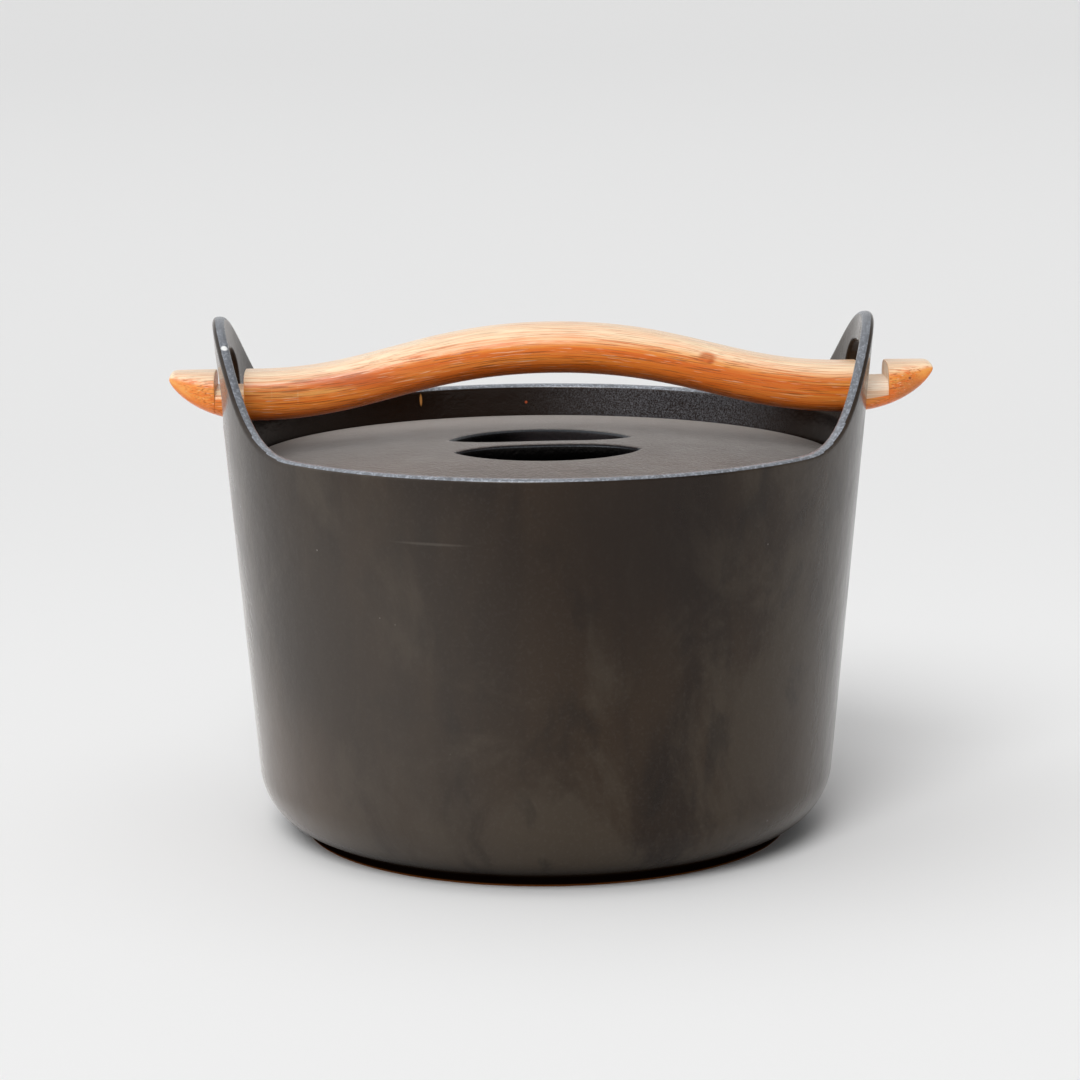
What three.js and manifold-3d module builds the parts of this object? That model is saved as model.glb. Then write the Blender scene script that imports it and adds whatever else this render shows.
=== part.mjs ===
// Cast iron casserole pot with a recessed lid and a removable wooden carrying handle.
// Millimetres, +Z up. The origin is the middle of the foot, and the handle lies along X.

import * as THREE from 'three';
import { mergeVertices } from 'three/addons/utils/BufferGeometryUtils.js';
import Module from 'manifold-3d';

const wasm = await Module();
wasm.setup();

// Pot wall: a plain cone, widest at the top
const RIM_HEIGHT = 131;
const RIM_RADIUS = 103;
const WALL_LEAN = 0.086; // outward lean, mm for each mm of height
const WALL_THICKNESS = 4;
const RIM_ROUND = 1.4;

// Pot bottom: a rounded corner over a low round foot
const CORNER_RADIUS = 21;
const CORNER_LIFT = 2; // lowest point of the corner's round above the ground
const FOOT_INSET = 15; // from the wall at the corner in to the edge of the foot
const FOOT_EDGE = 0.6;
const FLOOR_THICKNESS = 5.5;

// Ledge inside the pot that the lid rests on
const LEDGE_DROP = 14.6; // below the rim
const LEDGE_WIDTH = 3.5;
const LEDGE_SLOPE = 7; // height over which its underside runs back to the wall

// Ears: the rim sweeps up into each of them, and each has an eye for the handle
const EAR_REACH = 64; // from the middle of the ear to where its sweep leaves the rim
const EAR_TOP_TANGENT = 29.5; // length of the sweep's tangent at the top of the ear
const EAR_FOOT_TANGENT = 31.7; // length of the sweep's tangent at the rim
const EYE_SILL = 3.7; // bottom of the eye above the rim
const EYE_HEIGHT = 22.3;
const EYE_WIDTH = 33;
const EYE_CORNER = 10;
const EYE_CROWN = 10.8; // iron above the eye
const EYE_STEP = 1.2; // the eye on +X is higher by this much

// Lid: a low dome with a round grip well and a bar across the well
const LID_CLEARANCE = 0.9; // to the pot's wall, all round
const LID_EDGE = 4;
const LID_THICKNESS = 4.5;
const LID_RISE = 5.8;
const LID_ROUND = 1.5;
const WELL_RADIUS = 31.7;
const WELL_DEPTH = 20;
const WELL_CORNER = 10;
const WELL_LIP = 1.5;
const WELL_WALL = 4.5;
const BAR_WAIST = 8.6;
const BAR_FLARE = 11; // growth of its half width from the waist to the side of the well
const BAR_DEPTH = 7;
const BAR_TURN = 4.6; // degrees from X

// Handle: bowed, notched near each end, with a hook past each notch
const HANDLE_WIDTH = 24;
const HANDLE_END_WIDTH = 22;
const HANDLE_THICKNESS = 16.2;
const HANDLE_END_THICKNESS = 15.9;
const HANDLE_SHIFT = 2.6; // it lies this far off the middle, towards +X
const BOW_RISE = 13.9; // of its middle line
const BOW_SPAN = 94; // from the middle to where the bow ends
const BOW_CROWN = 43; // length of the curve's tangent at the top
const BOW_FOOT = 36; // length of the curve's tangent at each end
const HOOK_LENGTH = 14.6; // past the notch
const HOOK_SWEEP = 27; // length over which the underside curves up to the tip
const HOOK_CURVE = 0.7; // 0.5 is an ellipse, higher is straighter
const TIP_THICKNESS = 2.8;
const TIP_ROUND = 2.5;
const TIP_NARROWING = 0.45; // share of the width that is gone at the tip
const NECK_HEIGHT = 10.6;
const NECK_WIDTH = 20;
const NECK_ROUND = 4;
const NOTCH_INNER_CLEARANCE = 0.8; // to the inside of the wall at the sill of the eye
const NOTCH_OUTER_CLEARANCE = 2.2; // to the outside of the wall above the crown of the eye

const SEAT_GAP = 0.3; // between a piece and what it rests on
const ROUNDNESS = 2.5; // 2 is an ellipse, higher is squarer

// Fineness of the curves
const POT_SEGMENTS = 96;
const LID_SEGMENTS = 64;
const HANDLE_SIDES = 20;
const HANDLE_STEPS = 44;
const BAR_STEPS = 20;
const ARC_ERROR = 0.1; // how far a straight step may lie from the arc it stands for
const SHAPE_STEPS = 3; // steps in each eighth of a turn of a drawn-out outline

const OVERSHOOT = 5; // how far a cutting shape runs past what it cuts
const WELD = 1e-4;

const ledgeHeight = RIM_HEIGHT - LEDGE_DROP;
const sillHeight = RIM_HEIGHT + EYE_SILL;
const crownHeight = sillHeight + EYE_HEIGHT;
const earRise = EYE_SILL + EYE_HEIGHT + EYE_CROWN;

const outsideRadius = (z) => RIM_RADIUS + WALL_LEAN * (z - RIM_HEIGHT);
const insideRadius = (z) => outsideRadius(z) - WALL_THICKNESS;

const iron = (color) => new THREE.MeshStandardMaterial({ color, roughness: 0.62, metalness: 0.55 });
const wood = (color) => new THREE.MeshStandardMaterial({ color, roughness: 0.5, metalness: 0 });

// Solids and geometry

function toSolid(geometry) {
  const bare = new THREE.BufferGeometry();
  bare.setAttribute('position', geometry.getAttribute('position'));
  bare.setIndex(geometry.getIndex());
  const merged = mergeVertices(bare, WELD);
  const corners = merged.getIndex().array;
  const kept = [];
  for (let i = 0; i < corners.length; i += 3) {
    const [a, b, c] = corners.slice(i, i + 3);
    if (a !== b && b !== c && c !== a) {
      kept.push(a, b, c);
    }
  }
  const vertProperties = new Float32Array(merged.getAttribute('position').array);
  const triVerts = new Uint32Array(kept);
  return new wasm.Manifold(new wasm.Mesh({ numProp: 3, vertProperties, triVerts }));
}

function toMesh(name, solid, material) {
  const { vertProperties, triVerts } = solid.getMesh();
  const geometry = new THREE.BufferGeometry();
  geometry.setAttribute('position', new THREE.BufferAttribute(vertProperties, 3));
  geometry.setIndex(new THREE.BufferAttribute(triVerts, 1));
  geometry.computeVertexNormals();
  const mesh = new THREE.Mesh(geometry, material);
  mesh.name = name;
  return mesh;
}

function arc(centre, radius, fromDegrees, toDegrees) {
  const from = THREE.MathUtils.degToRad(fromDegrees);
  const to = THREE.MathUtils.degToRad(toDegrees);
  const curve = new THREE.EllipseCurve(centre.x, centre.y, radius, radius, from, to, to < from);
  const largestStep = 2 * Math.acos(1 - ARC_ERROR / radius);
  return curve.getPoints(Math.ceil(Math.abs(to - from) / largestStep));
}

// A profile of radius and height, turned about Z
function turned(profile, segments) {
  return new THREE.LatheGeometry(profile, segments).rotateX(Math.PI / 2);
}

// An outline in Y and Z, drawn out along X from one place to another
function drawnAlongX(outline, from, to) {
  const geometry = new THREE.ExtrudeGeometry(outline, {
    depth: to - from,
    bevelEnabled: false,
    curveSegments: SHAPE_STEPS,
  });
  const axisX = new THREE.Vector3(1, 0, 0);
  const axisY = new THREE.Vector3(0, 1, 0);
  const axisZ = new THREE.Vector3(0, 0, 1);
  geometry.applyMatrix4(new THREE.Matrix4().makeBasis(axisY, axisZ, axisX));
  return geometry.translate(from, 0, 0);
}

// Height of a curve above a place on its horizontal axis, where the curve runs one way along it
function heightOn(curve, place) {
  let low = 0;
  let high = 1;
  for (let step = 0; step < 40; step += 1) {
    const middle = (low + high) / 2;
    if (curve.getPoint(middle).x < place) {
      low = middle;
    } else {
      high = middle;
    }
  }
  return curve.getPoint(low).y;
}

// Pot

function potProfile() {
  const cornerHeight = CORNER_LIFT + CORNER_RADIUS;
  const lean = Math.atan(WALL_LEAN);
  const leanDegrees = THREE.MathUtils.radToDeg(lean);
  const tangentHeight = cornerHeight - CORNER_RADIUS * Math.sin(lean);
  const cornerMiddle = outsideRadius(tangentHeight) - CORNER_RADIUS * Math.cos(lean);
  const footRadius = outsideRadius(tangentHeight) - FOOT_INSET;
  const footAngle = -Math.acos((footRadius - cornerMiddle) / CORNER_RADIUS);
  const footDegrees = THREE.MathUtils.radToDeg(footAngle);
  const innerCorner = CORNER_RADIUS - WALL_THICKNESS;
  const innerHeight = FLOOR_THICKNESS + innerCorner;
  const innerTangent = innerHeight - innerCorner * Math.sin(lean);
  const innerMiddle = insideRadius(innerTangent) - innerCorner * Math.cos(lean);
  const roundHeight = RIM_HEIGHT - RIM_ROUND;
  const ledgeRadius = insideRadius(ledgeHeight) - LEDGE_WIDTH;
  const outer = (z) => new THREE.Vector2(outsideRadius(z), z);
  const inner = (z) => new THREE.Vector2(insideRadius(z), z);
  const between = (low, high, share) => low + (high - low) * share;
  const outerRound = new THREE.Vector2(outsideRadius(roundHeight) - RIM_ROUND, roundHeight);
  const innerRound = new THREE.Vector2(insideRadius(roundHeight) + RIM_ROUND, roundHeight);
  return [
    new THREE.Vector2(0, 0),
    new THREE.Vector2(footRadius - FOOT_EDGE, 0),
    new THREE.Vector2(footRadius, FOOT_EDGE),
    ...arc(new THREE.Vector2(cornerMiddle, cornerHeight), CORNER_RADIUS, footDegrees, -leanDegrees),
    outer(between(tangentHeight, ledgeHeight, 1 / 2)),
    outer(ledgeHeight),
    outer(between(ledgeHeight, roundHeight, 1 / 2)),
    ...arc(outerRound, RIM_ROUND, -leanDegrees, 90),
    ...arc(innerRound, RIM_ROUND, 90, 180 - leanDegrees),
    inner(between(ledgeHeight, roundHeight, 1 / 2)),
    inner(ledgeHeight),
    new THREE.Vector2(ledgeRadius, ledgeHeight),
    inner(ledgeHeight - LEDGE_SLOPE),
    inner(between(innerTangent, ledgeHeight, 1 / 2)),
    ...arc(new THREE.Vector2(innerMiddle, innerHeight), innerCorner, -leanDegrees, -90),
    new THREE.Vector2(0, FLOOR_THICKNESS),
  ];
}

// The sweep of the rim into an ear: rise above the rim against distance from the ear's middle
const earSweep = new THREE.CubicBezierCurve(
  new THREE.Vector2(0, earRise),
  new THREE.Vector2(EAR_TOP_TANGENT, earRise),
  new THREE.Vector2(EAR_REACH - EAR_FOOT_TANGENT, 0),
  new THREE.Vector2(EAR_REACH, 0),
);

// The wall above the ledge is drawn up into the ears, and keeps its lean
function raiseEars(geometry) {
  const position = geometry.getAttribute('position');
  const middleRadius = RIM_RADIUS - WALL_THICKNESS / 2;
  const roundHeight = RIM_HEIGHT - RIM_ROUND;
  for (let i = 0; i < position.count; i += 1) {
    const height = position.getZ(i);
    if (height <= ledgeHeight) {
      continue;
    }
    const turn = Math.atan2(position.getY(i), position.getX(i));
    const place = middleRadius * Math.abs(Math.sin(turn));
    const rise = place < EAR_REACH ? heightOn(earSweep, place) : 0;
    const share = Math.min(1, (height - ledgeHeight) / (roundHeight - ledgeHeight));
    const raised = height + rise * share;
    const radius = Math.hypot(position.getX(i), position.getY(i));
    const leaned = radius + outsideRadius(raised) - outsideRadius(height);
    position.setXYZ(i, leaned * Math.cos(turn), leaned * Math.sin(turn), raised);
  }
  return geometry;
}

function eyeOutline(step) {
  const side = EYE_WIDTH / 2;
  const corner = Math.min(EYE_CORNER, side, EYE_HEIGHT / 2);
  const low = sillHeight + step + corner;
  const high = crownHeight + step - corner;
  const outline = new THREE.Shape();
  outline.moveTo(corner - side, low - corner);
  outline.lineTo(side - corner, low - corner);
  outline.absarc(side - corner, low, corner, -Math.PI / 2, 0);
  outline.absarc(side - corner, high, corner, 0, Math.PI / 2);
  outline.absarc(corner - side, high, corner, Math.PI / 2, Math.PI);
  outline.absarc(corner - side, low, corner, Math.PI, Math.PI * 1.5);
  return outline;
}

function makePot() {
  const body = toSolid(raiseEars(turned(potProfile(), POT_SEGMENTS)));
  const reach = outsideRadius(RIM_HEIGHT + earRise) + OVERSHOOT;
  const left = toSolid(drawnAlongX(eyeOutline(0), -reach, 0));
  const right = toSolid(drawnAlongX(eyeOutline(EYE_STEP), 0, reach));
  return toMesh('pot', body.subtract(left).subtract(right), iron(0x3c3733));
}

// Lid, from the underside of its edge up

const lidRadius = insideRadius(ledgeHeight) - LID_CLEARANCE;
const lidTop = LID_EDGE + LID_RISE;
const domeHeight = (radius) => lidTop - LID_RISE * (radius / lidRadius) ** 2;
const wellFloor = lidTop - WELL_DEPTH;

// The lid before the well is sunk into it, with the bowl that hangs below it
function lidProfile() {
  const bowlRadius = WELL_RADIUS + WELL_WALL;
  const bowlCorner = WELL_CORNER + WELL_WALL;
  const bowlFloor = wellFloor - WELL_WALL;
  const underside = (radius) => new THREE.Vector2(radius, domeHeight(radius) - LID_THICKNESS);
  const top = (radius) => new THREE.Vector2(radius, domeHeight(radius));
  const between = (share) => bowlRadius + (lidRadius - bowlRadius) * share;
  const seat = lidRadius - LEDGE_WIDTH - WALL_THICKNESS;
  const roundMiddle = new THREE.Vector2(lidRadius - LID_ROUND, domeHeight(lidRadius) - LID_ROUND);
  return [
    new THREE.Vector2(0, bowlFloor),
    ...arc(new THREE.Vector2(bowlRadius - bowlCorner, bowlFloor + bowlCorner), bowlCorner, -90, 0),
    underside(bowlRadius),
    underside(between(1 / 2)),
    underside(seat),
    new THREE.Vector2(seat + WALL_THICKNESS, 0),
    new THREE.Vector2(lidRadius, 0),
    ...arc(roundMiddle, LID_ROUND, 0, 90),
    top(between(2 / 3)),
    top(between(1 / 3)),
    top(bowlRadius),
    top(WELL_RADIUS / 2),
    new THREE.Vector2(0, lidTop),
  ];
}

function wellProfile() {
  const lipHeight = domeHeight(WELL_RADIUS + WELL_LIP) - WELL_LIP;
  const above = lidTop + OVERSHOOT;
  return [
    new THREE.Vector2(0, wellFloor),
    ...arc(new THREE.Vector2(WELL_RADIUS - WELL_CORNER, wellFloor + WELL_CORNER), WELL_CORNER, -90, 0),
    ...arc(new THREE.Vector2(WELL_RADIUS + WELL_LIP, lipHeight), WELL_LIP, 180, 105),
    new THREE.Vector2(WELL_RADIUS + WELL_LIP, above),
    new THREE.Vector2(0, above),
  ];
}

// Seen from above, the bar is narrowest in the middle and flares into the side of the well
function barOutline() {
  const reach = WELL_RADIUS + WELL_LIP + OVERSHOOT;
  const halfWidth = (x) => BAR_WAIST / 2 + BAR_FLARE * (x / WELL_RADIUS) ** 4;
  const near = [];
  const far = [];
  for (let i = 0; i <= BAR_STEPS; i += 1) {
    const x = reach * ((2 * i) / BAR_STEPS - 1);
    near.push(new THREE.Vector2(x, -halfWidth(x)));
    far.unshift(new THREE.Vector2(x, halfWidth(x)));
  }
  return new THREE.Shape([...near, ...far]);
}

function makeLid() {
  const blank = toSolid(turned(lidProfile(), LID_SEGMENTS));
  const well = toSolid(turned(wellProfile(), LID_SEGMENTS));
  const barShape = new THREE.ExtrudeGeometry(barOutline(), {
    depth: BAR_DEPTH + 2 * OVERSHOOT,
    bevelEnabled: false,
  });
  barShape.translate(0, 0, lidTop - BAR_DEPTH);
  barShape.rotateZ(THREE.MathUtils.degToRad(BAR_TURN));
  const hollow = well.subtract(toSolid(barShape));
  const lid = toMesh('lid', blank.subtract(hollow), iron(0x4a4440));
  lid.position.z = ledgeHeight + SEAT_GAP;
  return lid;
}

// Handle, from its underside at the notches up

const engagement = HANDLE_END_THICKNESS - NECK_HEIGHT;
const notchInner = insideRadius(sillHeight) - NOTCH_INNER_CLEARANCE;
const notchOuter = outsideRadius(crownHeight + engagement) + NOTCH_OUTER_CLEARANCE;
const handleHalf = notchOuter + HOOK_LENGTH;
const seatRadius = (insideRadius(sillHeight) + outsideRadius(sillHeight)) / 2;
const handleTilt = Math.asin(EYE_STEP / (2 * seatRadius));

const bow = new THREE.CubicBezierCurve(
  new THREE.Vector2(0, 1),
  new THREE.Vector2(BOW_CROWN, 1),
  new THREE.Vector2(BOW_SPAN - BOW_FOOT, 0),
  new THREE.Vector2(BOW_SPAN, 0),
);

// Lowest and highest point and half width of the handle's section at a distance from its middle
function handleSection(distance) {
  const bowed = distance < BOW_SPAN ? heightOn(bow, distance) : 0;
  const thickness = HANDLE_END_THICKNESS + (HANDLE_THICKNESS - HANDLE_END_THICKNESS) * bowed;
  const middle = HANDLE_END_THICKNESS / 2 + BOW_RISE * bowed;
  const sweep = Math.max(0, (distance - (handleHalf - HOOK_SWEEP)) / HOOK_SWEEP);
  const tip = Math.max(0, (distance - (handleHalf - TIP_ROUND)) / TIP_ROUND);
  const lift = 1 - Math.max(0, 1 - sweep * sweep) ** HOOK_CURVE;
  const fall = 1 - Math.sqrt(Math.max(0, 1 - tip * tip));
  const width = HANDLE_END_WIDTH + (HANDLE_WIDTH - HANDLE_END_WIDTH) * bowed;
  return {
    low: middle - thickness / 2 + (thickness - TIP_THICKNESS) * lift,
    high: middle + thickness / 2 - (TIP_THICKNESS / 2) * fall,
    side: (width / 2) * (1 - TIP_NARROWING * sweep ** 3),
  };
}

// A round bar drawn out to the handle's length, section by section, closer together at the ends
function handleBody() {
  const geometry = new THREE.CylinderGeometry(1, 1, 2, HANDLE_SIDES, HANDLE_STEPS);
  const position = geometry.getAttribute('position');
  const squared = (value) => Math.sign(value) * Math.abs(value) ** (2 / ROUNDNESS);
  for (let i = 0; i < position.count; i += 1) {
    const along = Math.sin((position.getY(i) * Math.PI) / 2) * handleHalf;
    const { low, high, side } = handleSection(Math.abs(along));
    const up = squared(position.getX(i));
    const across = squared(position.getZ(i));
    position.setXYZ(i, along, across * side, (low + high) / 2 + (up * (high - low)) / 2);
  }
  return geometry;
}

// What a notch takes away: all round the neck but not the neck
function notchOutline() {
  const neck = NECK_WIDTH / 2;
  const round = Math.min(NECK_ROUND, neck);
  const reach = HANDLE_WIDTH / 2 + OVERSHOOT;
  const below = -OVERSHOOT;
  const above = HANDLE_THICKNESS + BOW_RISE + OVERSHOOT;
  const outline = new THREE.Shape();
  outline.moveTo(neck, below);
  outline.lineTo(reach, below);
  outline.lineTo(reach, above);
  outline.lineTo(-reach, above);
  outline.lineTo(-reach, below);
  outline.lineTo(-neck, below);
  outline.lineTo(-neck, NECK_HEIGHT - round);
  outline.absarc(round - neck, NECK_HEIGHT - round, round, Math.PI, Math.PI / 2, true);
  outline.absarc(neck - round, NECK_HEIGHT - round, round, Math.PI / 2, 0, true);
  return outline;
}

function makeHandle() {
  const right = toSolid(drawnAlongX(notchOutline(), notchInner, notchOuter));
  const left = toSolid(drawnAlongX(notchOutline(), -notchOuter, -notchInner));
  const solid = toSolid(handleBody()).subtract(right).subtract(left);
  const handle = toMesh('handle', solid, wood(0xc98a4b));
  handle.position.set(HANDLE_SHIFT, 0, sillHeight + EYE_STEP / 2 + SEAT_GAP);
  handle.rotation.y = -handleTilt;
  return handle;
}

const casserole = new THREE.Group();
casserole.add(makePot(), makeLid(), makeHandle());

export default casserole;
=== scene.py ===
import math

import bmesh
import bpy
import numpy as np
from mathutils import Matrix, Vector


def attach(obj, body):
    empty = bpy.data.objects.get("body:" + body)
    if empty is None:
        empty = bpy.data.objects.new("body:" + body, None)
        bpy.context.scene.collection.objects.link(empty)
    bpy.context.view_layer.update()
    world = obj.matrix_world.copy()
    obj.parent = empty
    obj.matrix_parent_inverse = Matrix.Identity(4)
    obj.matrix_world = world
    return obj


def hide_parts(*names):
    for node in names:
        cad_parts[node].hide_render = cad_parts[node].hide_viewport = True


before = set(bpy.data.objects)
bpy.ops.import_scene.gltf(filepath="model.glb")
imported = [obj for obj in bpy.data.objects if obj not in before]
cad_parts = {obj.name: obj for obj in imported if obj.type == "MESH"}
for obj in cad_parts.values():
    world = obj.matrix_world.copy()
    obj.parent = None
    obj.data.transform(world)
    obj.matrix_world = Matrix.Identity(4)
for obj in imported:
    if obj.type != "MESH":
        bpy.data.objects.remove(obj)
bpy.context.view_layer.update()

MM = 0.001

# Places in a piece's list of materials: its skin, its worn edge, its foot or well, and the handle's bare
# wood. The pot's worn edge is partly a painted highlight, and the lid's well is nearly black by painted
# shade.
SKIN, EDGE, RECESS = 0, 1, 2
RAW = 1

# Pot, in millimetres
RIM_HEIGHT = 131.0
RIM_RADIUS = 103.0
WALL_LEAN = 0.086
WALL_THICKNESS = 4.0
RIM_ROUND = 1.5
RIM_CROWN = 0.25
RIM_SWELL = 0.4
RIM_SQUARENESS = 0.8
RIM_ROWS = 17
# rows of the rim's round that take the pale worn colour, which is partly a painted highlight
WORN_AND_HIGHLIT_ROWS = ((3, 0.985), (4, 0.95), (5, 0.85))
CORNER_RADIUS = 21.0
CORNER_LIFT = 2.0
FOOT_INSET = 15.0
FOOT_EDGE = 0.6
FOOT_BREAK = 2.5
FOOT_RINGS = (0.0, 20.0, 45.0, 65.0)
CREASE_DROP = 0.5
CREASE_TURN = 1.2
FLOOR_THICKNESS = 5.5
FLOOR_RINGS = (60.0, 40.0, 20.0, 0.0)
LEDGE_HEIGHT = RIM_HEIGHT - 14.6
LEDGE_WIDTH = 3.5
LEDGE_SLOPE = 7.0
LEDGE_ROUND = 0.9
LEDGE_START = 3.0
LEDGE_BACK = 190.0
LEAN = math.degrees(math.atan(WALL_LEAN))

# Ears and their eyes
EAR_REACH = 64.0
EAR_TOP_TANGENT = 29.5
EAR_FOOT_TANGENT = 31.7
EYE_SILL = RIM_HEIGHT + 3.7
EYE_HEIGHT = 22.3
EYE_WIDTH = 33.0
EYE_CORNER = 10.0
EYE_CROWN = 10.8
EYE_STEP = 1.2
EYE_ROUND = 0.9
EAR_RISE = EYE_SILL + EYE_HEIGHT + EYE_CROWN - RIM_HEIGHT
EAR_ANGLE = math.radians(25.0)
EAR_BASE = LEDGE_HEIGHT + 6.0
EAR_RING_SPREAD = 1.25
EAR_STEPS = 32
SIDE_STEPS = 14
WALL_STEPS = 72
EAR_COLUMNS = np.linspace(-EAR_ANGLE, EAR_ANGLE, EAR_STEPS + 1)
BACK_COLUMNS = np.linspace(EAR_ANGLE, math.pi - EAR_ANGLE, WALL_STEPS + 1)
FRONT_COLUMNS = np.linspace(math.pi + EAR_ANGLE, 2 * math.pi - EAR_ANGLE, WALL_STEPS + 1)
ALL_COLUMNS = np.concatenate(
    [EAR_COLUMNS[:-1], BACK_COLUMNS[:-1], math.pi + EAR_COLUMNS[:-1], FRONT_COLUMNS[:-1]]
)

# Lid
SEAT_GAP = 0.3
LID_BASE = LEDGE_HEIGHT + SEAT_GAP
LID_EDGE = 4.0
LID_THICKNESS = 4.5
LID_RISE = 5.8
LID_ROUND = 1.5
LID_CLEARANCE = 0.9
LID_FOOT_EDGE = 0.5
WELL_RADIUS = 31.7
WELL_DEPTH = 20.0
WELL_CORNER = 10.0
WELL_WALL = 4.5
LIP_ROUND = 1.9
BAR_WAIST = 8.6
BAR_FLARE = 11.0
BAR_DEPTH = 7.0
BAR_ROUND = 3.8
BAR_TURN = math.radians(4.6)
BAR_EASE = 4.0
BAR_BUNCHING = 0.55
PATCH_RADIUS = 42.0
PATCH_SPREAD = 1.2
ARC_STEPS = 72
BAR_STEPS = 40
END_STEPS = 10
HALVES = (np.array((1.0, 1.0, 1.0)), np.array((-1.0, -1.0, 1.0)))

# Handle
HANDLE_WIDTH = 24.0
HANDLE_END_WIDTH = 22.0
HANDLE_THICKNESS = 16.2
HANDLE_END_THICKNESS = 15.9
HANDLE_SHIFT = 2.6
BOW_RISE = 13.9
BOW_SPAN = 94.0
BOW_CROWN = 43.0
BOW_FOOT = 36.0
HOOK_LENGTH = 14.6
HOOK_SWEEP = 27.0
HOOK_CURVE = 0.7
TIP_THICKNESS = 2.8
TIP_ROUND = 2.5
TIP_NARROWING = 0.45
NECK_HEIGHT = 10.6
NECK_WIDTH = 20.0
NECK_ROUND = 4.0
RAW_ABOVE = 5.0
NOTCH_INNER_CLEARANCE = 0.8
NOTCH_OUTER_CLEARANCE = 2.2
NOTCH_ROUND = 0.35
GRIP_ROUNDNESS = 2.3
END_ROUNDNESS = 3.1
GRIP_MARGIN = 0.6
HOOK_MARGIN = 0.4
CUT_DEPTH = 0.05
TIP_RINGS = (0.7, 0.35, 0.0)
CENTRE_SHARE = 0.352
GRIP_STATIONS = 121
HANDLE_SIDES = 72
AROUND = np.linspace(0, 2 * math.pi, HANDLE_SIDES + 1)[:-1]
SEARCH_REACH = 40.0
SEARCH_STEPS = 44

# Photograph's camera, fitted to the pot's outline
CAMERA_DISTANCE = 1166.27
CAMERA_HEIGHT = 311.94
CAMERA_SIDE = -1.47
CAMERA_PITCH = 0.1845
CAMERA_ROLL = 0.0066
CAMERA_YAW = 0.0205
CAMERA_FOCAL = 3649.22
PICTURE_SIZE = 1080.0
SENSOR = 36.0
CLIP_START = 0.05
CLIP_END = 60.0

# Light, as shares of what reaches the open floor
FILL_LIGHT = 0.34
BACKDROP = 0.88
LEFT_SHARE = 0.35
LAMPS = (
    ("top_lamp", (0.10, 0.00, -0.99), 0.22, 80.0),
    ("left_lamp", (0.78, 0.22, -0.58), 0.06, 60.0),
    ("front_lamp", (0.20, 0.72, -0.66), 0.38, 28.0),
)
# painted light falloff: the floor is paler at the front and darker far behind the pot
FLOOR_TONES = (0.875, 0.80, 0.735)
FLOOR_RADIUS = 14.0

# Colours on the iron, some of them painted light or shade, and how often its patterns repeat in a metre
# painted sheen: the tone that makes the lid paler towards the back left, where the light grazes it
PAINTED_SHEEN_TONE = (0.200, 0.176, 0.160)
GRAIN_TONE = (0.16, 0.145, 0.135)
SPECK_TONE = (0.22, 0.20, 0.19)
# painted glints: pale blue-grey specks on the dark inner wall at the back right, standing in for reflected
# light
PAINTED_GLINT_TONE = (0.135, 0.138, 0.152)
FOOT_SHADE = (0.003, 0.001, 0.0005)
RUST = (0.26, 0.09, 0.025)
LEFT_PATCHES = (0.026, 0.022, 0.022)
EAR_TONE = (0.030, 0.029, 0.031)
WARM_GLOSS = (1.0, 0.94, 0.89, 1.0)
WARM_BLOOM = (1.0, 0.94, 0.90, 1.0)
COOL_GLOSS = (0.84, 0.91, 1.0, 1.0)
STREAKS = (34.0, 34.0, 7.0)
CLOUDS = (24.0, 24.0, 17.0)
BLOTS = (60.0, 60.0, 38.0)
CAST_GRAIN = 820.0
PAINTED_GLINT_GRAIN = 1900.0
WORN_GRAIN = 1250.0
WORN_PATCHES = 120.0
SPECK_CELLS = 260.0
SPECK_PATCHES = 75.0
WAVES = 190.0

# Where the iron changes: heights, radii and depths in metres, the painted glints' place in millimetres
FOOT_SHADE_FADE = (0.011, 0.0026)
GLOSS_FADE = (0.017, 0.0045)
RUST_HEIGHT = (0.0009, 0.0003)
RUST_RING = (0.070, 0.074)
INNER_DEPTH = (-0.0018, -0.0026)
INNER_TOP = (0.1312, 0.1296)
INNER_FOOT = (0.090, 0.094)
EAR_FADE = (0.133, 0.150)
PAINTED_GLINT_PLACE = (48.0, 86.0, 125.0)
PAINTED_GLINT_REACH = 60.0
EVEN = (1.0, 1.0, 1.0)

# How often the wood's patterns repeat in a metre, along, across and up
FIBRES = (24.0, 1750.0, 1750.0)
LINES = (12.0, 430.0, 430.0)
BANDS = (11.0, 130.0, 130.0)
FLECKS = (130.0, 3100.0, 3100.0)
PORES = (70.0, 3600.0, 3600.0)
GRAIN_BOW = 0.86


def outside(z):
    return RIM_RADIUS + WALL_LEAN * (z - RIM_HEIGHT)


def inside(z):
    return outside(z) - WALL_THICKNESS


def bezier_height(places, p0, p1, p2, p3):
    """Height of a cubic curve above given places on its horizontal axis."""
    t = np.linspace(0.0, 1.0, 801)
    terms = ((1 - t) ** 3, 3 * (1 - t) ** 2 * t, 3 * (1 - t) * t * t, t ** 3)
    x = sum(k * p[0] for k, p in zip(terms, (p0, p1, p2, p3)))
    y = sum(k * p[1] for k, p in zip(terms, (p0, p1, p2, p3)))
    return np.interp(places, x, y)


def arc(cx, cz, radius, start, end, steps):
    a = np.radians(np.linspace(start, end, steps + 1))
    return [(cx + radius * math.cos(k), cz + radius * math.sin(k)) for k in a]


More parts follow.
